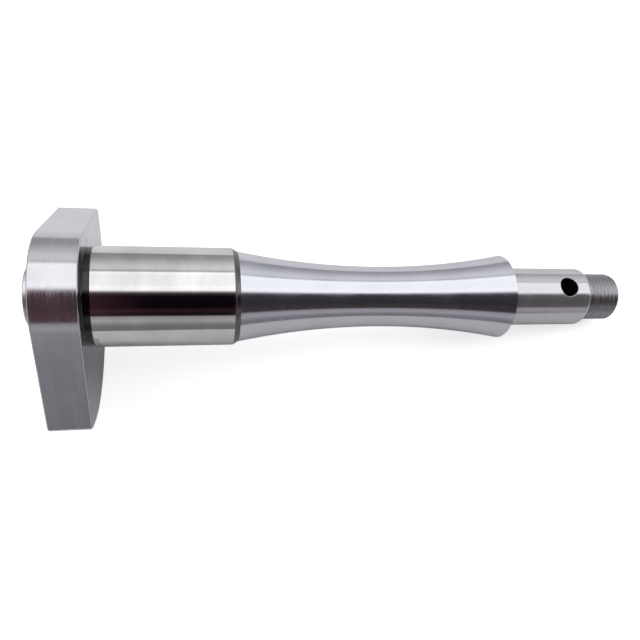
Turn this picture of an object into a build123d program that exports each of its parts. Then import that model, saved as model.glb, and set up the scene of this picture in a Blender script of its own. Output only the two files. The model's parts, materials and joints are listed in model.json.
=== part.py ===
from build123d import *
import os
from math import acos, atan2, cos, degrees, radians, sin, tan

# Counterweighted stepped shaft, one solid steel part turned, milled and ground from a forging.
# It is built along +X: the axis of rotation is the X axis, X = 0 is the web's inner face,
# the fan of the counterweight points down and the cross hole is vertical.
# It is then laid down as it comes to rest: on the edge of the fan and the threaded tip.
# Sizes are in millimetres and angles in degrees.

# Counterweight web: a lobe round the axis that widens by two flat flanks into a fan.
web_thickness = 12.8
lobe_radius = 19.5
fan_radius = 40.2
fan_half_angle = 68.2          # from the middle of the fan to either corner
fan_corner_round = 1.2
web_edge_chamfer = 0.5

# Centring boss on the web's outer face.
boss_diameter = 17.9
boss_height = 3.4
boss_chamfer = 0.4

# Main journal, with a grinding relief at the web and an unground chamfer at the neck.
relief_width = 2.0
relief_depth = 0.35
relief_corner_chamfer = 0.25
journal_diameter = 30.0
journal_length = 40.0
journal_edge_chamfer = 0.3
journal_end_chamfer_length = 1.7

# Hourglass neck: one arc from end to end, narrowest in the middle.
neck_length = 89.0
neck_end_diameter = 28.0
neck_waist_diameter = 19.6
neck_edge_chamfer = 0.25

# Outer seat, with the cross hole near its rounded end.
seat_diameter = 19.6
seat_length = 30.8
seat_root_round = 0.8
seat_end_round_share = 0.75    # of the step down to the thread
cross_hole_diameter = 6.5
cross_hole_from_seat_end = 8.4
cross_hole_chamfer = 0.3

# Threaded end, M16 x 1.5, as a plain cylinder of the thread's major diameter.
thread_diameter = 16.0
thread_length = 12.4
thread_chamfer = 0.8

# Centre holes that the shaft turns on while it is ground.
centre_hole_mouth = 6.3
centre_hole_pilot = 3.0
centre_hole_pilot_depth = 2.0
centre_hole_included_angle = 60

# Stations along the axis and the seat's end round, worked out from the sizes.
x_boss_end = -web_thickness - boss_height
x_journal = relief_width
x_journal_end = x_journal + journal_length
x_neck = x_journal_end + journal_end_chamfer_length
x_neck_end = x_neck + neck_length
x_seat_end = x_neck_end + seat_length
x_cross_hole = x_seat_end - cross_hole_from_seat_end
x_tip = x_seat_end + thread_length
seat_end_round = seat_end_round_share * (seat_diameter - thread_diameter) / 2


def on_circle(radius, angle_from_down):
    """Point of the web's plane at an angle from straight down, towards +Y."""
    angle = radians(angle_from_down)
    return (radius * sin(angle), -radius * cos(angle))


def counterweight_web():
    """Fan-shaped web, with flanks tangent to the lobe and chamfered edges."""
    tangent_angle = fan_half_angle + degrees(acos(lobe_radius / fan_radius))
    corners = [on_circle(fan_radius, side * fan_half_angle) for side in (1, -1)]
    touches = [on_circle(lobe_radius, side * tangent_angle) for side in (1, -1)]
    outline = [
        ThreePointArc(corners[1], (0, -fan_radius), corners[0]),
        Line(corners[0], touches[0]),
        ThreePointArc(touches[0], (0, lobe_radius), touches[1]),
        Line(touches[1], corners[1]),
    ]
    face = make_face(outline)
    for corner in corners:
        nearest = face.vertices().sort_by_distance((*corner, 0))[0]
        face = fillet(nearest, fan_corner_round)
    web = extrude(Plane.YZ * face, amount=-web_thickness)
    rims = web.faces().filter_by(Axis.X).edges()
    return chamfer(rims, web_edge_chamfer)


def blend_corner(face, corner, size, operation):
    """Round or chamfer the corner of a turned profile that lies at (x, radius)."""
    nearest = face.vertices().sort_by_distance((*corner, 0))[0]
    return operation(nearest, size)


def turned_shaft():
    """Everything turned about the axis, from the boss to the threaded tip."""
    boss_radius = boss_diameter / 2
    relief_radius = journal_diameter / 2 - relief_depth
    journal_radius = journal_diameter / 2
    neck_end_radius = neck_end_diameter / 2
    seat_radius = seat_diameter / 2
    thread_radius = thread_diameter / 2
    inside_web = -web_thickness / 2

    to_neck = Polyline(
        (x_boss_end, 0), (x_boss_end, boss_radius),
        (inside_web, boss_radius), (inside_web, relief_radius + relief_corner_chamfer),
        (0, relief_radius + relief_corner_chamfer), (relief_corner_chamfer, relief_radius),
        (x_journal, relief_radius), (x_journal, journal_radius),
        (x_journal_end, journal_radius), (x_neck, neck_end_radius))
    neck = ThreePointArc(
        (x_neck, neck_end_radius),
        ((x_neck + x_neck_end) / 2, neck_waist_diameter / 2),
        (x_neck_end, neck_end_radius))
    to_tip = Polyline(
        (x_neck_end, neck_end_radius), (x_neck_end, seat_radius),
        (x_seat_end, seat_radius), (x_seat_end, thread_radius),
        (x_tip, thread_radius), (x_tip, 0))
    face = make_face([to_neck, neck, to_tip, Line((x_tip, 0), (x_boss_end, 0))])

    face = blend_corner(face, (x_boss_end, boss_radius), boss_chamfer, chamfer)
    face = blend_corner(face, (x_journal, journal_radius), journal_edge_chamfer, chamfer)
    face = blend_corner(face, (x_neck_end, neck_end_radius), neck_edge_chamfer, chamfer)
    face = blend_corner(face, (x_neck_end, seat_radius), seat_root_round, fillet)
    face = blend_corner(face, (x_seat_end, seat_radius), seat_end_round, fillet)
    face = blend_corner(face, (x_tip, thread_radius), thread_chamfer, chamfer)
    return revolve(Plane.XZ * face, Axis.X, 360)


def cross_hole():
    """Drill for the hole through the seat, square to the axis."""
    drill = Cylinder(cross_hole_diameter / 2, 2 * seat_diameter)
    return Pos(x_cross_hole, 0, 0) * drill


def centre_hole(x_face, direction):
    """Centre hole of an end face: a cone and a pilot, going in from x_face along X."""
    mouth = centre_hole_mouth / 2
    pilot = centre_hole_pilot / 2
    cone_depth = (mouth - pilot) / tan(radians(centre_hole_included_angle / 2))
    pilot_end = cone_depth + centre_hole_pilot_depth
    half = make_face(Polyline(
        (x_face, 0), (x_face, mouth), (x_face + direction * cone_depth, pilot),
        (x_face + direction * pilot_end, pilot), (x_face + direction * pilot_end, 0),
        close=True))
    return revolve(Plane.XZ * half, Axis.X, 360)


def mouths_of_cross_hole(shaft):
    """The two curved edges where the cross hole breaks through the seat."""
    reach = 0.75 * cross_hole_diameter
    centres = [Vector(x_cross_hole, 0, side * seat_diameter / 2) for side in (1, -1)]
    return shaft.edges().filter_by(
        lambda edge: any((edge.center() - centre).length < reach for centre in centres))


def build_shaft():
    """The whole part along +X."""
    shaft = counterweight_web() + turned_shaft()
    shaft -= cross_hole()
    shaft = chamfer(mouths_of_cross_hole(shaft), cross_hole_chamfer)
    shaft -= centre_hole(x_boss_end, 1)
    shaft -= centre_hole(x_tip, -1)
    return shaft


def rest_tilt():
    """How far the axis dips towards the tip: the floor touches the fan's edge and the thread."""
    along = x_tip - thread_chamfer + web_edge_chamfer
    down = fan_radius - thread_diameter / 2
    return degrees(atan2(down, along))


def laid_down(shaft):
    """The shaft at rest on Z = 0, with the middle of its footprint box at the origin."""
    tilted = Rot(0, rest_tilt(), 0) * shaft
    box = tilted.bounding_box()
    return Pos(-box.center().X, -box.center().Y, -box.min.Z) * tilted


os.makedirs("parts", exist_ok=True)
export_step(laid_down(build_shaft()), "parts/stepped_shaft.step")
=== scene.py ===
"""Looks of a counterweighted stepped shaft: one steel part, lying on a white studio floor.

The shaft is dressed in its turned frame: +X runs along its axis from the web's inner face to the
threaded end, +Z points away from the middle of the fan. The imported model's mounts say where that
frame lies. All sizes are in metres.
"""

import json
import logging
import math
from collections.abc import Sequence
from dataclasses import dataclass
from enum import Enum
from typing import Any, ClassVar

import bpy
from mathutils import Matrix, Vector


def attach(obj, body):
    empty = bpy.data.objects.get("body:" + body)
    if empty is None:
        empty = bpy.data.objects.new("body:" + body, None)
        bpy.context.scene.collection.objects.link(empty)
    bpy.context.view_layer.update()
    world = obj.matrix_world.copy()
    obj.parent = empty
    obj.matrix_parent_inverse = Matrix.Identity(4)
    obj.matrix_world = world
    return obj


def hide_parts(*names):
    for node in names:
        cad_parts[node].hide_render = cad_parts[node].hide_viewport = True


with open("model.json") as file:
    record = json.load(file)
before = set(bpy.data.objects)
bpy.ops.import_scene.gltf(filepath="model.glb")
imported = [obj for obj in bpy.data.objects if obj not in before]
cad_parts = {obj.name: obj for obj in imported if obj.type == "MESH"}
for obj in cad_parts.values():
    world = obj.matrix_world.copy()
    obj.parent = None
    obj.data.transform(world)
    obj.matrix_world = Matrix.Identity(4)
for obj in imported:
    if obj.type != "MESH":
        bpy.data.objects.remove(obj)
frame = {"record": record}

log = logging.getLogger("stepped_shaft")
MM = 0.001
NODE = "stepped_shaft"
BODY = "root"
TURN = 2 * math.pi

Socket = bpy.types.NodeSocket
Span = tuple[float, float]
Triple = tuple[float, float, float]
# A face's corner: its point and the surface's true normal there.
Corner = tuple[Vector, Vector]


def mount(name: str) -> dict[str, Any]:
    """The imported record's mount of this name."""
    return next(m for m in frame["record"]["mounts"] if m["name"] == name)


def mount_radius(name: str) -> float:
    """Radius of a round mount, in metres."""
    return mount(name)["dims"]["r_mm"] * MM


@dataclass(frozen=True)
class TurnedFrame:
    """The shaft's own frame: its place in the model, and an empty that the finishes follow."""

    place: Matrix
    marker: bpy.types.Object

    @classmethod
    def at(cls, place: Matrix) -> "TurnedFrame":
        """Mark the frame's place with a new empty.

        Args:
            place: matrix from the turned frame to the model's frame.

        Returns:
            The frame with its marker.
        """
        marker = bpy.data.objects.new("turned_frame", None)
        marker.matrix_world = place
        bpy.context.scene.collection.objects.link(marker)
        return cls(place, marker)


# ---------------------------------------------------------------- finishes


class NodeBoard:
    """Nodes of a material or a world, with short ways to add and join them."""

    def __init__(self, owner: bpy.types.Material | bpy.types.World) -> None:
        """Open the nodes of a material or a world.

        Args:
            owner: the material or world.
        """
        owner.use_nodes = True
        self.nodes = owner.node_tree.nodes
        self.links = owner.node_tree.links

    def feed(self, source: Socket | float | Sequence[float], target: Socket) -> None:
        """Link an output to an input, or set the input to a plain value.

        Args:
            source: the output, or the plain value.
            target: the input.
        """
        if isinstance(source, bpy.types.NodeSocket):
            self.links.new(source, target)
        else:
            target.default_value = source

    def feed_all(self, sources: Sequence[Socket | float | Sequence[float]],
                 made: bpy.types.Node) -> bpy.types.Node:
        """Feed a node's first inputs in turn.

        Args:
            sources: outputs or plain values, one for each input.
            made: the node.

        Returns:
            The same node.
        """
        for source, target in zip(sources, made.inputs):
            self.feed(source, target)
        return made

    def math(self, operation: str, *values: Socket | float) -> Socket:
        """Work out a sum on up to three numbers.

        Args:
            operation: what the node works out.
            values: its numbers, as outputs or plain values.

        Returns:
            The result.
        """
        made = self.nodes.new("ShaderNodeMath")
        made.operation = operation
        return self.feed_all(values, made).outputs["Value"]

    def vector_math(self, operation: str,
                    *values: Socket | Sequence[float]) -> bpy.types.NodeOutputs:
        """Work out a sum on up to two vectors.

        Args:
            operation: what the node works out.
            values: its vectors, as outputs or plain values.

        Returns:
            The node's outputs, of which Value holds a length.
        """
        made = self.nodes.new("ShaderNodeVectorMath")
        made.operation = operation
        return self.feed_all(values, made).outputs

    def scaled(self, vector: Triple, scale: Socket) -> Socket:
        """Multiply a fixed vector by a number.

        Args:
            vector: the fixed vector.
            scale: the number.

        Returns:
            Their product.
        """
        made = self.nodes.new("ShaderNodeVectorMath")
        made.operation = "SCALE"
        self.feed(vector, made.inputs[0])
        self.feed(scale, made.inputs["Scale"])
        return made.outputs["Vector"]

    def carried(self, value: Socket, source: Span, target: Span = (0.0, 1.0)) -> Socket:
        """Carry a value from one span to another, held at the ends.

        Args:
            value: the value to carry.
            source: the span that it comes from.
            target: the span that it goes to.

        Returns:
            The value in the target span.
        """
        made = self.nodes.new("ShaderNodeMapRange")
        self.feed(value, made.inputs["Value"])
        made.inputs["From Min"].default_value = source[0]
        made.inputs["From Max"].default_value = source[1]
        made.inputs["To Min"].default_value = target[0]
        made.inputs["To Max"].default_value = target[1]
        return made.outputs["Result"]

    def noise(self, place: Socket, scale: float, detail: float) -> Socket:
        """Read noise at a place.

        Args:
            place: where the noise is read.
            scale: its cells to a unit of length.
            detail: how many finer layers it has.

        Returns:
            The noise, from 0 to 1.
        """
        made = self.nodes.new("ShaderNodeTexNoise")
        self.feed(place, made.inputs["Vector"])
        made.inputs["Scale"].default_value = scale
        made.inputs["Detail"].default_value = detail
        return made.outputs["Fac"]

    def parts(self, vector: Socket) -> bpy.types.NodeOutputs:
        """Take a vector apart.

        Args:
            vector: the vector.

        Returns:
            Outputs named X, Y and Z.
        """
        made = self.nodes.new("ShaderNodeSeparateXYZ")
        self.feed(vector, made.inputs["Vector"])
        return made.outputs


class Slot(Enum):
    """The record's material slots."""

    GROUND = "ground_steel"
    MACHINED = "machined_steel"
    DARK = "dark_steel"


class Marks(Enum):
    """Which way a surface's fine tool marks run, as stretch along x, y, z and radius."""

    AROUND = (1.0, 0.003, 0.003, 0.0)
    RINGS = (0.0, 0.003, 0.003, 1.0)
    NONE = (1.0, 1.0, 1.0, 0.0)


@dataclass(frozen=True)
class SteelFinish:
    """A finish of bare steel: fine marks, some bright and some hazy, over faint mottling.

    Gloss and haze are the roughness of the bright and the hazy marks, and the haze share is the
    part of the surface that the hazy ones take. The shade spread and the mottle are how far the
    marks and the patches may darken the colour.
    """

    name: str
    colour: Triple
    gloss: float
    haze: float
    haze_share: float
    marks: Marks
    mark_size: float
    mark_depth: float
    shade_spread: float = 0.06
    mottle: float = 0.06
    metallic: float = 1.0

    MARK_DETAIL: ClassVar[float] = 4.0
    PATCH_SCALE: ClassVar[float] = 110.0
    PATCH_DETAIL: ClassVar[float] = 3.0
    PATCH_WEIGHT: ClassVar[float] = 0.4
    NOISE_SPAN: ClassVar[Span] = (0.3, 0.7)
    HAZE_MIDDLE: ClassVar[float] = 0.7
    HAZE_SLOPE: ClassVar[float] = 0.32
    HAZE_SOFTNESS: ClassVar[float] = 0.06

    def material(self, shaft: bpy.types.Object) -> bpy.types.Material:
        """Build the finish as a node material.

        Args:
            shaft: empty that holds the turned frame, which the marks follow.

        Returns:
            The new material.
        """
        made = bpy.data.materials.new(self.name)
        board = NodeBoard(made)
        place = board.nodes.new("ShaderNodeTexCoord")
        place.object = shaft
        spot = place.outputs["Object"]
        lines = board.noise(self._along_marks(board, spot), 1.0, self.MARK_DETAIL)
        patches = board.noise(spot, self.PATCH_SCALE, self.PATCH_DETAIL)

        shader = board.nodes["Principled BSDF"]
        board.feed(self.metallic, shader.inputs["Metallic"])
        board.feed(self._tone(board, lines, patches), shader.inputs["Base Color"])
        board.feed(self._roughness(board, lines, patches), shader.inputs["Roughness"])
        relief = board.nodes.new("ShaderNodeBump")
        relief.inputs["Strength"].default_value = 1.0
        relief.inputs["Distance"].default_value = self.mark_depth
        board.feed(lines, relief.inputs["Height"])
        board.feed(relief.outputs["Normal"], shader.inputs["Normal"])
        return made

    def _tone(self, board: NodeBoard, lines: Socket, patches: Socket) -> Socket:
        """Darken the colour a little in some marks and patches.

        Args:
            board: the material's nodes.
            lines: noise of the marks.
            patches: noise of the patches.

        Returns:
            The base colour.
        """
        shade = board.carried(lines, self.NOISE_SPAN, (1.0 - self.shade_spread, 1.0))
        cloud = board.carried(patches, self.NOISE_SPAN, (1.0 - self.mottle, 1.0))
        return board.scaled(self.colour, board.math("MULTIPLY", shade, cloud))

    def _roughness(self, board: NodeBoard, lines: Socket, patches: Socket) -> Socket:
        """Make some marks bright and others hazy, more of them in some patches.

        Args:
            board: the material's nodes.
            lines: noise of the marks.
            patches: noise of the patches.

        Returns:
            The roughness.
        """
        mixed = board.math("MULTIPLY_ADD", patches, self.PATCH_WEIGHT, lines)
        edge = self.HAZE_MIDDLE + self.HAZE_SLOPE * (0.5 - self.haze_share)
        border = (edge - self.HAZE_SOFTNESS, edge + self.HAZE_SOFTNESS)
        return board.carried(mixed, border, (self.gloss, self.haze))

    def _along_marks(self, board: NodeBoard, spot: Socket) -> Socket:
        """Measure the surface in mark sizes, drawn out along the marks.

        Args:
            board: the material's nodes.
            spot: place in the turned frame.

        Returns:
            Where the noise of the marks is read.
        """
        *stretches, per_radius = [value / self.mark_size for value in self.marks.value]
        stretch = board.nodes.new("ShaderNodeMapping")
        stretch.inputs["Scale"].default_value = stretches
        board.feed(spot, stretch.inputs["Vector"])
        flat = board.vector_math("MULTIPLY", spot, (0.0, per_radius, per_radius))
        radius = board.vector_math("LENGTH", flat["Vector"])
        return board.vector_math("ADD", stretch.outputs["Vector"], radius["Value"])["Vector"]


WEB_RIM = SteelFinish(
    name="web_rim_milled", colour=(0.585, 0.58, 0.615), gloss=0.12, haze=0.24, haze_share=0.35,
    marks=Marks.AROUND, mark_size=0.12 * MM, mark_depth=0.0005 * MM, mottle=0.10, metallic=0.96)
WEB_FACE = SteelFinish(
    name="web_face_turned", colour=(0.57, 0.565, 0.59), gloss=0.12, haze=0.32, haze_share=0.40,
    marks=Marks.RINGS, mark_size=0.12 * MM, mark_depth=0.0008 * MM, shade_spread=0.10,
    metallic=0.97)
BOSS = SteelFinish(
    name="boss_turned", colour=(0.62, 0.62, 0.63), gloss=0.18, haze=0.4, haze_share=0.4,
    marks=Marks.RINGS, mark_size=0.15 * MM, mark_depth=0.001 * MM, metallic=0.95)
# Groove at the web's foot: dark unground steel, painted further down to near-black as painted
# shade in the groove.
RELIEF_DARK_AND_SHADE = SteelFinish(
    name="relief_dark_steel_and_shade", colour=(0.045, 0.044, 0.048), gloss=0.12, haze=0.3, haze_share=0.2,
    marks=Marks.AROUND, mark_size=0.2 * MM, mark_depth=0.001 * MM)
JOURNAL = SteelFinish(
    name="journal_ground", colour=(0.645, 0.635, 0.63), gloss=0.035, haze=0.12, haze_share=0.15,
    marks=Marks.AROUND, mark_size=0.12 * MM, mark_depth=0.0001 * MM, shade_spread=0.05,
    mottle=0.22)
BAND = SteelFinish(
    name="band_unground", colour=(0.135, 0.13, 0.127), gloss=0.17, haze=0.35, haze_share=0.3,
    marks=Marks.AROUND, mark_size=0.15 * MM, mark_depth=0.001 * MM, metallic=0.95)
# The neck's colour is steel grey with a blue tint; the tint is a painted reflection of the bluish
# surroundings.
NECK = SteelFinish(
    name="neck_polished", colour=(0.59, 0.60, 0.645), gloss=0.10, haze=0.20, haze_share=0.40,
    marks=Marks.AROUND, mark_size=0.10 * MM, mark_depth=0.0002 * MM, metallic=0.93)
SEAT = SteelFinish(
    name="seat_turned", colour=(0.58, 0.575, 0.595), gloss=0.09, haze=0.26, haze_share=0.40,
    marks=Marks.AROUND, mark_size=0.10 * MM, mark_depth=0.0003 * MM, metallic=0.78)
# Wall of the drilled cross hole: its near-black colour is painted shade inside the hole.
HOLE_PAINTED_SHADE = SteelFinish(
    name="hole_painted_shade", colour=(0.07, 0.07, 0.072), gloss=0.4, haze=0.6, haze_share=0.5,
    marks=Marks.NONE, mark_size=0.4 * MM, mark_depth=0.005 * MM)
THREAD = SteelFinish(
    name="thread_cut", colour=(0.31, 0.31, 0.33), gloss=0.22, haze=0.42, haze_share=0.45,
    marks=Marks.AROUND, mark_size=0.1 * MM, mark_depth=0.001 * MM, metallic=0.92)


# ---------------------------------------------------------------- surfaces


class Surface:
    """Mesh under construction, whose face corners carry their true normals."""

    SNAP = 1e-7

    def __init__(self) -> None:
        """Start with no faces, and with the first finish."""
        self.points: list[Vector] = []
        self.faces: list[list[int]] = []
        self.normals: list[Vector] = []
        self.finishes: list[int] = []
        self.finish = 0
        self._known: dict[tuple[int, ...], int] = {}

    def _index(self, point: Vector) -> int:
        """Number a point, the same as one that is already in its place.

        Args:
            point: the point.

        Returns:
            Its number in the mesh.
        """
        key = tuple(round(value / self.SNAP) for value in point)
        if key not in self._known:
            self._known[key] = len(self.points)
            self.points.append(point)
        return self._known[key]

    def face(self, corners: Sequence[Corner]) -> None:
        """Add one face.

        Args:
            corners: the corners in turn. Those that fall together count once.
        """
        kept: list[tuple[int, Vector]] = []
        for point, normal in corners:
            index = self._index(point)
            if not kept or (index != kept[-1][0] and index != kept[0][0]):
                kept.append((index, normal))
        if len(kept) > 2:
            self.faces.append([index for index, _ in kept])
            self.normals.extend(normal for _, normal in kept)
            self.finishes.append(self.finish)

    def grid(self, rows: Sequence[Sequence[Corner]]) -> None:
        """Add the quads between rows of corners.

        Args:
            rows: the rows, all of one length.
        """
        for low, high in zip(rows, rows[1:]):
            for k in range(len(low) - 1):
                self.face([low[k], high[k], high[k + 1], low[k + 1]])

    def disc(self, x: float, radius: float, segments: int, side: int) -> None:
        """Close a turned end with a flat disc.

        Args:
            x: station of the disc.
            radius: its radius.
            segments: number of steps round the axis.
            side: 1 if it looks along +X, or -1.
        """
        normal = Vector((side, 0, 0))
        turns = [side * TURN * k / segments for k in range(segments)]
        self.face([(Vector((x, -radius * math.sin(a), radius * math.cos(a))), normal)
                   for a in turns])

    def piece(self, name: str, shaft: TurnedFrame, slot: Slot,
              *finishes: SteelFinish) -> bpy.types.Object:
        """Finish the mesh as a piece that stands for the CAD node.

        Args:
            name: the piece's name.
            shaft: the turned frame that the surface is drawn in.
            slot: the record's material slot that the first finish belongs to; not used.
            finishes: the finishes, in the order that the faces number them.

        Returns:
            The new object.
        """
        turn = shaft.place.to_3x3()
        mesh = bpy.data.meshes.new(name)
        mesh.from_pydata([tuple(shaft.place @ point) for point in self.points], [], self.faces)
        mesh.polygons.foreach_set("use_smooth", [True] * len(mesh.polygons))
        mesh.normals_split_custom_set([tuple(turn @ normal) for normal in self.normals])
        for finish in finishes:
            mesh.materials.append(finish.material(shaft.marker))
        mesh.polygons.foreach_set("material_index", self.finishes)
        made = bpy.data.objects.new(name, mesh)
        bpy.context.scene.collection.objects.link(made)
        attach(made, BODY)
        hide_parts(NODE)
        return made


class Profile:
    """Turned outline in the plane of x and radius, drawn so that metal lies on its right."""

    def __init__(self, x: float, radius: float) -> None:
        """Start the outline at a point."""
        self.at = (x, radius)
        self.runs: list[list[tuple[float, float, float, float]]] = []

    def line_to(self, x: float, radius: float, steps: int = 1) -> None:
        """Run straight to a point.

        Args:
            x: the point's station.
            radius: its radius.
            steps: number of pieces.
        """
        x0, r0 = self.at
        length = math.hypot(x - x0, radius - r0)
        nx, nr = -(radius - r0) / length, (x - x0) / length
        self.runs.append([
            (x0 + (x - x0) * k / steps, r0 + (radius - r0) * k / steps, nx, nr)
            for k in range(steps + 1)])
        self.at = (x, radius)

    def arc(self, centre: Span, size: float, start: float, end: float, steps: int) -> None:
        """Arc about a centre, from one angle to another.

        A single step makes a chamfer that shades as a round.

        Args:
            centre: the arc's centre as x and radius.
            size: the arc's own radius.
            start: angle of its first point, from +X towards +radius.
            end: angle of its last point.
            steps: number of straight pieces.
        """
        outward = 1.0 if end < start else -1.0
        run = []
        for k in range(steps + 1):
            angle = start + (end - start) * k / steps
            c, s = math.cos(angle), math.sin(angle)
            run.append((centre[0] + size * c, centre[1] + size * s, outward * c, outward * s))
        self.runs.append(run)
        self.at = run[-1][:2]

    def revolve(self, segments: int, surface: Surface | None = None) -> Surface:
        """Turn the profile about the X axis.

        Args:
            segments: number of steps round the axis.
            surface: surface to add to, or none for a new one.

        Returns:
            The surface with the turned stretch in it.
        """
        surface = surface or Surface()
        turns = [(math.cos(TURN * k / segments), math.sin(TURN * k / segments))
                 for k in range(segments)]
        turns.append(turns[0])
        for run in self.runs:
            surface.grid([
                [(Vector((x, r * s, r * c)), Vector((nx, nr * s, nr * c))) for c, s in turns]
                for x, r, nx, nr in run])
        return surface

    def solid(self, segments: int) -> Surface:
        """Turn the profile and close its two ends with discs.

        Args:
            segments: number of steps round the axis.

        Returns:
            The closed surface.
        """
        surface = self.revolve(segments)
        first, last = self.runs[0][0], self.runs[-1][-1]
        surface.disc(first[0], first[1], segments, -1)
        surface.disc(last[0], last[1], segments, 1)
        return surface


# ---------------------------------------------------------------- sub-assemblies


@dataclass(frozen=True)
class CentreHole:
    """Centre hole of an end face: a conical mouth and a narrow pilot."""

    mouth_radius: float = 3.15 * MM
    pilot_radius: float = 1.5 * MM
    pilot_depth: float = 2.0 * MM
    half_angle: float = math.radians(30)
    steps: int = 3

    @property
    def cone_depth(self) -> float:
        """Depth of the conical mouth."""
        return (self.mouth_radius - self.pilot_radius) / math.tan(self.half_angle)


@dataclass(frozen=True)
class CounterweightWeb:
    """Fan-shaped counterweight web, whose flat flanks touch the lobe round the axis."""

    thickness: float = 12.8 * MM
    lobe_radius: float = 19.5 * MM
    fan_radius: float = 40.2 * MM
    fan_half_angle: float = math.radians(68.2)
    corner_round: float = 1.2 * MM
    edge_chamfer: float = 0.5 * MM
    half_arc_steps: int = 48
    corner_steps: int = 12
    flank_steps: int = 12

    def _arc(self, centre: Span, radius: float, angles: Span, steps: int) -> list[Corner]:
        """Draw an arc of the outline.

        Args:
            centre: the arc's centre along Y and Z.
            radius: its radius.
            angles: its first and last angle, from straight down towards +Y.
            steps: number of straight pieces.

        Returns:
            Its points and outward normals.
        """
        start, end = angles
        made = []
        for k in range(steps + 1):
            angle = start + (end - start) * k / steps
            normal = Vector((0.0, math.sin(angle), -math.cos(angle)))
            made.append((Vector((0.0, *centre)) + radius * normal, normal))
        return made

    def outline(self) -> list[Corner]:
        """Draw the web's closed outline: fan, corners, flanks and lobe.

        Returns:
            Points and outward normals, the first one repeated at the end.
        """
        tangent = self.fan_half_angle + math.acos(self.lobe_radius / self.fan_radius)
        reach = self.fan_radius - self.corner_round
        corner = tangent - math.acos((self.lobe_radius - self.corner_round) / reach)
        centre = (reach * math.sin(corner), -reach * math.cos(corner))
        right = self._arc((0, 0), self.fan_radius, (0, corner), self.half_arc_steps)
        right += self._arc(centre, self.corner_round, (corner, tangent), self.corner_steps)
        lobe = self._arc((0, 0), self.lobe_radius, (tangent, math.pi), self.half_arc_steps)
        flank_start = right[-1][0]
        flank_end, flank_normal = lobe[0]
        right += [
            (flank_start.lerp(flank_end, k / self.flank_steps), flank_normal)
            for k in range(1, self.flank_steps)]
        right += lobe
        flip = Vector((1, -1, 1))
        left = [(point * flip, normal * flip) for point, normal in reversed(right)]
        return right + left[1:]

    def surface(self) -> Surface:
        """Carry the outline round the wall and its two chamfers, and close both faces.

        Returns:
            The web's surface.
        """
        outline = self.outline()
        chamfer = self.edge_chamfer
        # Station, distance in from the outline, and the way a face's border looks.
        borders = (
            (0.0, chamfer, Vector((1, 0, 0))),
            (-chamfer, 0.0, None),
            (chamfer - self.thickness, 0.0, None),
            (-self.thickness, chamfer, Vector((-1, 0, 0))),
        )
        rows = [
            [(point - inward * normal + Vector((x, 0, 0)), normal if looks is None else looks)
             for point, normal in outline]
            for x, inward, looks in borders]
        surface = Surface()
        surface.grid(rows)
        surface.finish = 1
        surface.face(rows[0][:-1])
        surface.face(list(reversed(rows[-1][:-1])))
        return surface

    def dress(self, shaft: TurnedFrame) -> list[bpy.types.Object]:
        """Make the web, with its milled wall and turned faces."""
        return [self.surface().piece(
            "counterweight_web", shaft, Slot.MACHINED, WEB_RIM, WEB_FACE)]


@dataclass(frozen=True)
class CentringBoss:
    """Low round boss on the web's outer face."""

    web: CounterweightWeb
    centre: CentreHole
    radius: float = 8.95 * MM
    height: float = 3.4 * MM
    edge_chamfer: float = 0.4 * MM
    segments: int = 128

    def surface(self) -> Surface:
        """Turn the centre hole, end face, chamfer and skin, a little way into the web.

        Returns:
            The boss's surface.
        """
        hole, chamfer = self.centre, self.edge_chamfer
        end = -self.web.thickness - self.height
        bottom = end + hole.cone_depth + hole.pilot_depth
        profile = Profile(bottom, 0.0)
        profile.line_to(bottom, hole.pilot_radius)
        profile.line_to(end + hole.cone_depth, hole.pilot_radius, hole.steps)
        profile.line_to(end, hole.mouth_radius, hole.steps)
        profile.line_to(end, self.radius - chamfer)
        profile.arc((end + chamfer, self.radius - chamfer), chamfer, math.pi, math.pi / 2, 1)
        profile.line_to(-self.web.thickness + self.web.edge_chamfer, self.radius, 3)
        return profile.solid(self.segments)

    def dress(self, shaft: TurnedFrame) -> list[bpy.types.Object]:
        """Make the boss."""
        return [self.surface().piece("centring_boss", shaft, Slot.MACHINED, BOSS)]


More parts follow.
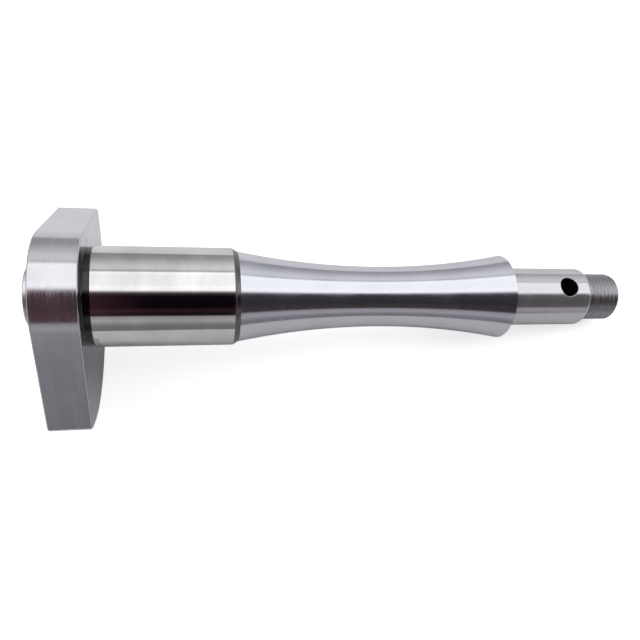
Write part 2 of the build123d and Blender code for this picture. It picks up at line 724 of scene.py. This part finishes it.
@dataclass(frozen=True)
class MainJournal:
    """Main journal between its grinding relief and its unground chamfer."""

    web: CounterweightWeb
    neck_radius: float
    radius: float
    relief_width: float = 2.0 * MM
    relief_depth: float = 0.35 * MM
    relief_corner: float = 0.25 * MM
    length: float = 40.0 * MM
    edge_chamfer: float = 0.3 * MM
    end_chamfer: float = 1.7 * MM
    journal_steps: int = 40
    groove_steps: int = 4
    segments: int = 256

    @property
    def start(self) -> float:
        """Where the ground journal begins."""
        return self.relief_width

    @property
    def end(self) -> float:
        """Where the unground chamfer begins."""
        return self.start + self.length

    @property
    def chamfer_end(self) -> float:
        """Where the neck begins."""
        return self.end + self.end_chamfer

    @property
    def ground_middle(self) -> float:
        """Middle of the ground cylinder, without its edge chamfer."""
        return (self.start + self.edge_chamfer + self.end) / 2

    def relief(self) -> Surface:
        """Turn the narrow groove between the web and the journal.

        Returns:
            The relief's surface.
        """
        floor = self.radius - self.relief_depth
        profile = Profile(-self.web.edge_chamfer, floor + self.relief_corner)
        profile.line_to(0.0, floor + self.relief_corner)
        profile.line_to(self.relief_corner, floor)
        profile.line_to(self.start, floor, self.groove_steps)
        profile.line_to(self.start, self.radius - self.edge_chamfer)
        return profile.solid(self.segments)

    def journal(self) -> Surface:
        """Turn the ground cylinder and its small edge chamfer.

        Returns:
            The journal's surface.
        """
        profile = Profile(self.start, self.radius - self.edge_chamfer)
        profile.line_to(self.start + self.edge_chamfer, self.radius)
        profile.line_to(self.end, self.radius, self.journal_steps)
        return profile.solid(self.segments)

    def band(self) -> Surface:
        """Turn the unground chamfer, down to the neck.

        Returns:
            The chamfer's surface.
        """
        profile = Profile(self.end, self.radius)
        profile.line_to(self.chamfer_end, self.neck_radius, self.groove_steps)
        return profile.solid(self.segments)

    def dress(self, shaft: TurnedFrame) -> list[bpy.types.Object]:
        """Make the relief, the journal and the unground chamfer.

        Args:
            shaft: the turned frame.

        Returns:
            The three pieces.
        """
        return [
            self.relief().piece("grinding_relief", shaft, Slot.DARK, RELIEF_DARK_AND_SHADE),
            self.journal().piece("main_journal", shaft, Slot.GROUND, JOURNAL),
            self.band().piece("unground_chamfer", shaft, Slot.DARK, BAND),
        ]


@dataclass(frozen=True)
class HourglassNeck:
    """Hourglass neck, one arc from end to end."""

    start: float
    end_radius: float
    seat_radius: float
    length: float = 89.0 * MM
    waist_radius: float = 9.8 * MM
    arc_steps: int = 120
    segments: int = 256

    @property
    def end(self) -> float:
        """Right end of the hourglass, and the seat's shoulder."""
        return self.start + self.length

    def surface(self) -> Surface:
        """Turn the hourglass and the shoulder.

        Returns:
            The neck's surface.
        """
        half, rise = self.length / 2, self.end_radius - self.waist_radius
        bend = (half * half + rise * rise) / (2 * rise)
        sweep = math.asin(half / bend)
        centre = ((self.start + self.end) / 2, self.waist_radius + bend)
        profile = Profile(self.start, self.end_radius)
        profile.arc(centre, bend, -math.pi / 2 - sweep, -math.pi / 2 + sweep, self.arc_steps)
        profile.line_to(self.end, self.seat_radius)
        return profile.solid(self.segments)

    def dress(self, shaft: TurnedFrame) -> list[bpy.types.Object]:
        """Make the neck."""
        return [self.surface().piece("hourglass_neck", shaft, Slot.GROUND, NECK)]


@dataclass(frozen=True)
class OuterSeat:
    """Cylindrical seat whose skin opens round the two mouths of the cross hole."""

    start: float
    radius: float
    thread_radius: float
    hole_radius: float
    length: float = 30.8 * MM
    root_round: float = 0.8 * MM
    end_round: float = 1.35 * MM
    hole_from_end: float = 8.4 * MM
    hole_chamfer: float = 0.3 * MM
    window_half_length: float = 4.3 * MM
    window_half_steps: int = 18
    window_rings: int = 10
    wall_steps: int = 12
    root_steps: int = 8
    skin_steps: int = 30
    end_steps: int = 4
    end_round_steps: int = 10
    segments: int = 256

    @property
    def end(self) -> float:
        """Where the thread begins."""
        return self.start + self.length

    @property
    def hole(self) -> float:
        """Station of the cross hole's axis."""
        return self.end - self.hole_from_end

    def _skin(self, x: float, angle: float) -> Corner:
        """Point and normal of the cylinder at a station and an angle from straight up."""
        normal = Vector((0.0, math.sin(angle), math.cos(angle)))
        return Vector((x, 0, 0)) + self.radius * normal, normal

    def _mouth(self, turn: float, radius: float, sink: float) -> Vector:
        """Find a point of the hole's upper mouth.

        Args:
            turn: angle about the hole's axis.
            radius: distance from that axis.
            sink: depth below the skin.

        Returns:
            The point.
        """
        across = radius * math.sin(turn)
        height = math.sqrt(self.radius ** 2 - across ** 2) - sink
        return Vector((self.hole + radius * math.cos(turn), across, height))

    def _window(self) -> list[Span]:
        """Go round the window that is left open about the hole.

        Returns:
            Each point's distance from the hole's axis along X, and angle from straight up.
        """
        n = self.window_half_steps
        step_x, step_a = self.window_half_length / n, TURN / self.segments
        side = [(n, k) for k in range(-n, n)] + [(-k, n) for k in range(-n, n)]
        side += [(-a, -b) for a, b in side]
        return [(a * step_x, b * step_a) for a, b in side]

    def _opening(self, surface: Surface) -> None:
        """Fill the upper and the lower window down to the hole's chamfered mouths.

        Args:
            surface: the seat's surface, which they are added to.
        """
        rows: list[list[Corner]] = [[] for _ in range(self.window_rings + 2)]
        border = self._window()
        for dx, angle in border + border[:1]:
            turn = math.atan2(self.radius * angle, dx)
            rim = self._mouth(turn, self.hole_radius + self.hole_chamfer, 0.0)
            rim_angle = math.asin(rim.y / self.radius)
            for k in range(self.window_rings + 1):
                share = k / self.window_rings
                x = self.hole + dx + (rim.x - self.hole - dx) * share
                rows[k].append(self._skin(x, angle + (rim_angle - angle) * share))
            wall = self._mouth(turn, self.hole_radius, self.hole_chamfer)
            rows[-1].append((wall, Vector((-math.cos(turn), -math.sin(turn), 0))))
        surface.grid([list(reversed(row)) for row in rows])
        under = Vector((1, -1, -1))
        surface.grid([
            [(point * under, normal * under) for point, normal in reversed(row)]
            for row in rows])

    def _sides(self, surface: Surface) -> None:
        """Add the skin on both sides, between the upper and the lower window.

        Args:
            surface: the seat's surface, which it is added to.
        """
        half, n = self.segments // 2, self.window_half_steps
        low, length = self.hole - self.window_half_length, 2 * self.window_half_length
        stations = [low + length * k / (2 * n) for k in range(2 * n + 1)]
        for first in (n, half + n):
            surface.grid([
                [self._skin(x, TURN * k / self.segments)
                 for k in range(first, first + half - 2 * n + 1)]
                for x in stations])

    def _hole_wall(self, surface: Surface) -> None:
        """Add the wall of the cross hole from mouth to mouth.

        Args:
            surface: the seat's surface, which it is added to.
        """
        turns = [math.atan2(self.radius * angle, dx) for dx, angle in self._window()]
        turns.append(turns[0])
        rows = []
        for k in range(self.wall_steps + 1):
            share = 1 - 2 * k / self.wall_steps
            row = []
            for turn in turns:
                mouth = self._mouth(turn, self.hole_radius, self.hole_chamfer)
                inward = Vector((-math.cos(turn), -math.sin(turn), 0))
                row.append((Vector((mouth.x, mouth.y, mouth.z * share)), inward))
            rows.append(list(reversed(row)))
        surface.grid(rows)

    def surface(self) -> Surface:
        """Turn the root fillet, cylinder and rounded end, and open the cross hole.

        Returns:
            The seat's surface.
        """
        root, rounding = self.root_round, self.end_round
        left = Profile(self.start, self.radius + root)
        left.arc((self.start + root, self.radius + root), root, -math.pi, -math.pi / 2,
                 self.root_steps)
        left.line_to(self.hole - self.window_half_length, self.radius, self.skin_steps)
        surface = left.revolve(self.segments)
        right = Profile(self.hole + self.window_half_length, self.radius)
        right.line_to(self.end - rounding, self.radius, self.end_steps)
        right.arc((self.end - rounding, self.radius - rounding), rounding, math.pi / 2, 0,
                  self.end_round_steps)
        right.line_to(self.end, self.thread_radius)
        right.revolve(self.segments, surface)
        self._sides(surface)
        self._opening(surface)
        surface.disc(self.start, self.radius + root, self.segments, -1)
        surface.disc(self.end, self.thread_radius, self.segments, 1)
        # The hole's wall takes the second finish, painted near-black as shade.
        surface.finish = 1
        self._hole_wall(surface)
        return surface

    def dress(self, shaft: TurnedFrame) -> list[bpy.types.Object]:
        """Make the seat, with its turned skin and drilled hole."""
        return [self.surface().piece("outer_seat", shaft, Slot.GROUND, SEAT, HOLE_PAINTED_SHADE)]


@dataclass(frozen=True)
class ThreadedEnd:
    """Right-hand helical thread with a chamfered tip and a centre hole.

    The crest, the flank and the softness are shares of a pitch: half the width of the flat
    crest, the distance from the crest's middle to the flank's foot, and how far corners are
    eased. The cut fades in over the run-out, counted in pitches, after a short plain stretch.
    """

    start: float
    radius: float
    centre: CentreHole
    pitch: float = 1.5 * MM
    depth: float = 0.54 * MM
    length: float = 12.4 * MM
    chamfer: float = 0.8 * MM
    crest: float = 0.125
    flank: float = 0.4137
    softness: float = 0.04
    run_out: float = 0.9
    plain_share: float = 0.1
    nudge: float = 0.01 * MM
    segments: int = 192

    @property
    def tip(self) -> float:
        """End face of the thread."""
        return self.start + self.length

    def _cut(self, phase: float) -> float:
        """Draw the cut's plain form.

        Args:
            phase: place within a pitch, from one crest's middle to the next.

        Returns:
            Share of the full depth, 0 on the crest.
        """
        phase %= 1.0
        away = min(phase, 1.0 - phase)
        return min(max((away - self.crest) / (self.flank - self.crest), 0.0), 1.0)

    def _radius(self, x: float, angle: float) -> float:
        """Cut the turns, the run-out and the tip's chamfer.

        Args:
            x: station along the axis.
            angle: angle from straight up.

        Returns:
            The radius of the thread's surface there.
        """
        phase = (x - self.start) / self.pitch - angle / TURN
        eased = [self._cut(phase + shift) for shift in (-self.softness, 0.0, self.softness)]
        run = (x - self.start) / (self.run_out * self.pitch) - self.plain_share
        cut = self.depth * sum(eased) / len(eased) * min(max(run, 0.0), 1.0)
        cone = self.radius - self.chamfer + max(self.tip - x, 0.0)
        return min(self.radius - cut, cone)

    def _point(self, x: float, angle: float) -> Corner:
        """Find a corner of the thread's surface.

        Args:
            x: station along the axis.
            angle: angle from straight up.

        Returns:
            The surface's point and normal there.
        """
        radius, d = self._radius(x, angle), self.nudge
        slope = (self._radius(x + d, angle) - self._radius(x - d, angle)) / (2 * d)
        swing = d / radius
        twist = (self._radius(x, angle + swing) - self._radius(x, angle - swing)) / (2 * d)
        out = Vector((0.0, math.sin(angle), math.cos(angle)))
        round_it = Vector((0.0, math.cos(angle), -math.sin(angle)))
        normal = out - slope * Vector((1, 0, 0)) - twist * round_it
        return Vector((x, 0, 0)) + radius * out, normal.normalized()

    def _marks(self) -> list[float]:
        """List the phases of the rings that draw one turn, closer at its corners.

        Returns:
            The phases, rising from 0.
        """
        ends = (-self.softness, 0.0, self.softness)
        half = [self.crest + shift for shift in ends]
        half.append((self.crest + self.flank) / 2)
        half += [self.flank + shift for shift in ends]
        return [0.0] + half + [1.0 - mark for mark in reversed(half)]

    def _turns(self, surface: Surface) -> None:
        """Add the thread's turns, held between the seat and the tip.

        Args:
            surface: the thread's surface, which they are added to.
        """
        marks = self._marks()
        rows = []
        for turn in range(-1, math.ceil(self.length / self.pitch) + 1):
            for mark in marks:
                row = []
                for k in range(self.segments + 1):
                    x = self.start + self.pitch * (turn + mark + k / self.segments)
                    x = min(max(x, self.start), self.tip)
                    row.append(self._point(x, self._angle(k)))
                rows.append(row)
        surface.grid(rows)

    def _angle(self, step: int) -> float:
        """Angle of a step round the axis, the last one the same as the first."""
        return TURN * (step % self.segments) / self.segments

    def surface(self) -> Surface:
        """Draw the turns, the end face and the centre hole.

        Returns:
            The threaded end's surface.
        """
        surface = Surface()
        self._turns(surface)
        surface.disc(self.start, self.radius, self.segments, -1)

        hole, ahead = self.centre, Vector((1, 0, 0))
        rim = [(self._point(self.tip, self._angle(k))[0], ahead)
               for k in range(self.segments + 1)]
        mouth = []
        for point, _ in rim:
            out = Vector((0.0, point.y, point.z)).normalized()
            mouth.append((Vector((self.tip, 0, 0)) + hole.mouth_radius * out, ahead))
        surface.grid([rim, mouth])
        pilot = self.tip - hole.cone_depth
        bottom = pilot - hole.pilot_depth
        profile = Profile(self.tip, hole.mouth_radius)
        profile.line_to(pilot, hole.pilot_radius, hole.steps)
        profile.line_to(bottom, hole.pilot_radius, hole.steps)
        profile.line_to(bottom, 0.0)
        profile.revolve(self.segments, surface)
        return surface

    def dress(self, shaft: TurnedFrame) -> list[bpy.types.Object]:
        """Make the threaded end."""
        return [self.surface().piece("threaded_end", shaft, Slot.DARK, THREAD)]


@dataclass(frozen=True)
class SteppedShaft:
    """The whole shaft: its sub-assemblies in the order that they lie along the axis."""

    web: CounterweightWeb
    boss: CentringBoss
    journal: MainJournal
    neck: HourglassNeck
    seat: OuterSeat
    thread: ThreadedEnd

    NECK_END_RADIUS: ClassVar[float] = 14.0 * MM

    @classmethod
    def from_mounts(cls) -> "SteppedShaft":
        """Size the shaft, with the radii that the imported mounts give.

        Returns:
            The shaft.
        """
        web, centre = CounterweightWeb(), CentreHole()
        seat_radius = mount_radius("outer_seat")
        thread_radius = mount_radius("threaded_end")
        journal = MainJournal(web, cls.NECK_END_RADIUS, mount_radius("main_journal"))
        neck = HourglassNeck(journal.chamfer_end, cls.NECK_END_RADIUS, seat_radius)
        seat = OuterSeat(neck.end, seat_radius, thread_radius, mount_radius("cross_hole"))
        thread = ThreadedEnd(seat.end, thread_radius, centre)
        return cls(web, CentringBoss(web, centre), journal, neck, seat, thread)

    def place(self) -> Matrix:
        """Find the shaft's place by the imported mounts.

        Returns:
            The matrix from the turned frame to the model's frame.
        """
        journal = mount("main_journal")
        along = Vector(journal["axis"]).normalized()
        up = Vector(mount("cross_hole")["axis"]).normalized()
        across = up.cross(along)
        origin = Vector(journal["pos_m"]) - along * self.journal.ground_middle
        turn = Matrix((along, across, up)).transposed().to_4x4()
        return Matrix.Translation(origin) @ turn

    def dress(self, shaft: TurnedFrame) -> list[bpy.types.Object]:
        """Make every piece, from the web to the threaded end.

        Args:
            shaft: the turned frame.

        Returns:
            The pieces in order.
        """
        parts = (self.web, self.boss, self.journal, self.neck, self.seat, self.thread)
        return [piece for part in parts for piece in part.dress(shaft)]


# ---------------------------------------------------------------- studio


@dataclass(frozen=True)
class ViewingCamera:
    """Camera above the shaft, placed about its axis."""

    beside: float = 26.6 * MM
    distance: float = 189.4 * MM
    lean: float = math.radians(20.7)
    yaw: float = math.radians(13.0)
    pitch: float = math.radians(4.3)
    focal_share: float = 0.93984
    shift_up: float = 0.034
    sensor: float = 36.0
    nearest: float = 0.01

    def set_up(self, place: Matrix) -> None:
        """Create the scene's camera.

        Args:
            place: matrix from the turned frame to the model's frame.
        """
        back = Vector((0, -math.sin(self.lean), math.cos(self.lean)))
        top = Vector((0, math.cos(self.lean), math.sin(self.lean)))
        spot = Vector((self.beside, 0, 0)) + self.distance * back
        level = Vector((math.sin(self.yaw), 0, 0)) - math.cos(self.yaw) * back
        right = Vector((math.cos(self.yaw), 0, 0)) + math.sin(self.yaw) * back
        ahead = level * math.cos(self.pitch) - top * math.sin(self.pitch)
        up = right.cross(ahead)
        data = bpy.data.cameras.new("camera")
        data.sensor_width = self.sensor
        data.lens = self.sensor * self.focal_share
        data.shift_y = self.shift_up
        data.clip_start = self.nearest
        camera = bpy.data.objects.new("camera", data)
        turn = Matrix((right, up, -ahead)).transposed().to_4x4()
        camera.matrix_world = place @ Matrix.Translation(spot) @ turn
        bpy.context.scene.collection.objects.link(camera)
        bpy.context.scene.camera = camera


@dataclass(frozen=True)
class Studio:
    """Plain white floor under a sky of soft boxes that runs along the shaft.

    The dip is the angle by which the shaft's axis points below the level.
    """

    dip: float

    # Light of the studio by the angle from straight up, in degrees towards the far side.
    SKY: ClassVar[tuple[tuple[float, Triple], ...]] = (
        (-180, (0.23, 0.23, 0.24)),
        (-92, (0.24, 0.24, 0.25)),
        (-86, (0.33, 0.32, 0.34)),
        (-77, (0.54, 0.52, 0.55)),
        (-66.5, (0.42, 0.40, 0.42)),
        (-64.5, (0.03, 0.025, 0.03)),
        (-60, (0.014, 0.006, 0.009)),
        (-53, (0.040, 0.020, 0.026)),
        (-45, (0.006, 0.003, 0.006)),
        (-20, (0.006, 0.004, 0.008)),
        (-14, (0.05, 0.045, 0.05)),
        (-10, (0.46, 0.43, 0.45)),
        (-7, (1.60, 1.58, 1.59)),
        (0, (1.78, 1.76, 1.78)),
        (5, (1.58, 1.58, 1.58)),
        (27, (1.58, 1.58, 1.58)),
        (35, (1.78, 1.78, 1.78)),
        (37.5, (0.72, 0.71, 0.71)),
        (40.5, (0.72, 0.71, 0.71)),
        (43, (1.02, 1.01, 1.01)),
        (52, (0.98, 0.97, 0.98)),
        (64, (0.74, 0.74, 0.75)),
        (76, (0.50, 0.50, 0.52)),
        (88, (0.42, 0.42, 0.44)),
        (96, (0.50, 0.50, 0.52)),
        (180, (0.50, 0.50, 0.52)),
    )
    WHITE: ClassVar[tuple[float, ...]] = (1.0, 1.0, 1.0, 1.0)
    # Reddish dark cloth over the shaft's left end: its reach by angle, and its fade along X.
    CLOTH: ClassVar[Triple] = (0.070, 0.028, 0.037)
    CLOTH_REACH: ClassVar[Span] = (math.radians(-64), math.radians(-9))
    CLOTH_FADE: ClassVar[Span] = (-0.06, -0.18)
    FLOOR_EDGE: ClassVar[tuple[Span, ...]] = (
        (-0.6, -0.40), (-0.05, -0.19), (0.07, -0.125), (0.6, -0.125), (0.6, 0.9), (-0.6, 0.9))
    FLOOR_COLOUR: ClassVar[Triple] = (0.84, 0.84, 0.85)
    # How much the floor glows for the camera, and for mirrored rays by the distance along Y.
    FLOOR_LIFT: ClassVar[float] = 0.70
    FAR_LIFT: ClassVar[float] = 0.24
    FAR_LIFT_REACH: ClassVar[Span] = (0.02, 0.10)

    def sky(self) -> None:
        """Light the scene from the sky, which the camera itself sees as plain white."""
        world = bpy.data.worlds.new("studio_sky")
        bpy.context.scene.world = world
        board = NodeBoard(world)
        ray = board.nodes.new("ShaderNodeTexCoord")
        level = board.nodes.new("ShaderNodeVectorRotate")
        level.rotation_type = "Y_AXIS"
        level.inputs["Angle"].default_value = -self.dip
        board.feed(ray.outputs["Generated"], level.inputs["Vector"])
        toward = board.parts(level.outputs["Vector"])
        angle = board.math("ARCTAN2", toward["Y"], toward["Z"])
        boxes = self._soft_boxes(board, angle)
        cloth = self._cloth(board, angle, toward["X"])
        light = board.nodes["Background"]
        board.feed(board.vector_math("ADD", boxes, cloth)["Vector"], light.inputs["Color"])

        white = board.nodes.new("ShaderNodeBackground")
        white.inputs["Color"].default_value = self.WHITE
        seen = board.nodes.new("ShaderNodeLightPath")
        choose = board.nodes.new("ShaderNodeMixShader")
        board.feed_all(
            (seen.outputs["Is Camera Ray"], light.outputs["Background"],
             white.outputs["Background"]), choose)
        board.feed(choose.outputs["Shader"], board.nodes["World Output"].inputs["Surface"])

    def _soft_boxes(self, board: NodeBoard, angle: Socket) -> Socket:
        """Colour the sky by the angle about the shaft's axis.

        Args:
            board: the world's nodes.
            angle: angle about the axis, from straight up.

        Returns:
            The sky's colour.
        """
        ramp = board.nodes.new("ShaderNodeValToRGB")
        stops = ramp.color_ramp.elements
        for number, (degrees, colour) in enumerate(self.SKY):
            position = (degrees + 180) / 360
            stop = stops[number] if number < len(stops) else stops.new(position)
            stop.position = position
            stop.color = (*colour, 1.0)
        board.feed(board.carried(angle, (-math.pi, math.pi)), ramp.inputs["Fac"])
        return ramp.outputs["Color"]

    def _cloth(self, board: NodeBoard, angle: Socket, along: Socket) -> Socket:
        """Hang the cloth over the shaft's left end.

        Args:
            board: the world's nodes.
            angle: angle about the axis, from straight up.
            along: direction along the axis.

        Returns:
            The cloth's colour, black outside its reach.
        """
        low, high = self.CLOTH_REACH
        inside = board.math("COMPARE", angle, (low + high) / 2, (high - low) / 2)
        left = board.carried(along, self.CLOTH_FADE)
        return board.scaled(self.CLOTH, board.math("MULTIPLY", left, inside))

    def floor(self) -> None:
        """White floor that keeps the shaft's soft shadow."""
        mesh = bpy.data.meshes.new("floor")
        corners = [(x, y, 0.0) for x, y in self.FLOOR_EDGE]
        mesh.from_pydata(corners, [], [tuple(range(len(corners)))])
        mesh.materials.append(self._floor_white())
        made = bpy.data.objects.new("floor", mesh)
        bpy.context.scene.collection.objects.link(made)

    def _floor_white(self) -> bpy.types.Material:
        """Build the floor's matt white, which glows a little for camera and mirrored rays.

        Returns:
            The floor's material.
        """
        paint = bpy.data.materials.new("floor_white")
        board = NodeBoard(paint)
        board.nodes.remove(board.nodes["Principled BSDF"])
        matt = board.nodes.new("ShaderNodeBsdfDiffuse")
        matt.inputs["Color"].default_value = (*self.FLOOR_COLOUR, 1.0)
        seen = board.nodes.new("ShaderNodeLightPath")
        lift = board.math("MULTIPLY", seen.outputs["Is Camera Ray"], self.FLOOR_LIFT)
        spot = board.nodes.new("ShaderNodeTexCoord")
        away = board.parts(spot.outputs["Object"])["Y"]
        far = board.carried(away, self.FAR_LIFT_REACH, (0.0, self.FAR_LIFT))
        glow = board.nodes.new("ShaderNodeEmission")
        strength = board.math("MULTIPLY_ADD", seen.outputs["Is Glossy Ray"], far, lift)
        board.feed(strength, glow.inputs["Strength"])
        both = board.nodes.new("ShaderNodeAddShader")
        board.feed_all((matt.outputs["BSDF"], glow.outputs["Emission"]), both)
        board.feed(both.outputs["Shader"], board.nodes["Material Output"].inputs["Surface"])
        return paint


def main() -> None:
    """Dress the shaft, light it and place the camera."""
    logging.basicConfig(level=logging.INFO, format="%(name)s: %(message)s")
    bpy.context.scene.view_settings.view_transform = "Standard"
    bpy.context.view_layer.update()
    shaft = SteppedShaft.from_mounts()
    place = shaft.place()
    for piece in shaft.dress(TurnedFrame.at(place)):
        log.info("%s: %d faces", piece.name, len(piece.data.polygons))

    along = place.col[0]
    studio = Studio(dip=math.atan2(-along[2], along[0]))
    studio.sky()
    studio.floor()
    ViewingCamera().set_up(place)


if __name__ == "__main__":
    main()
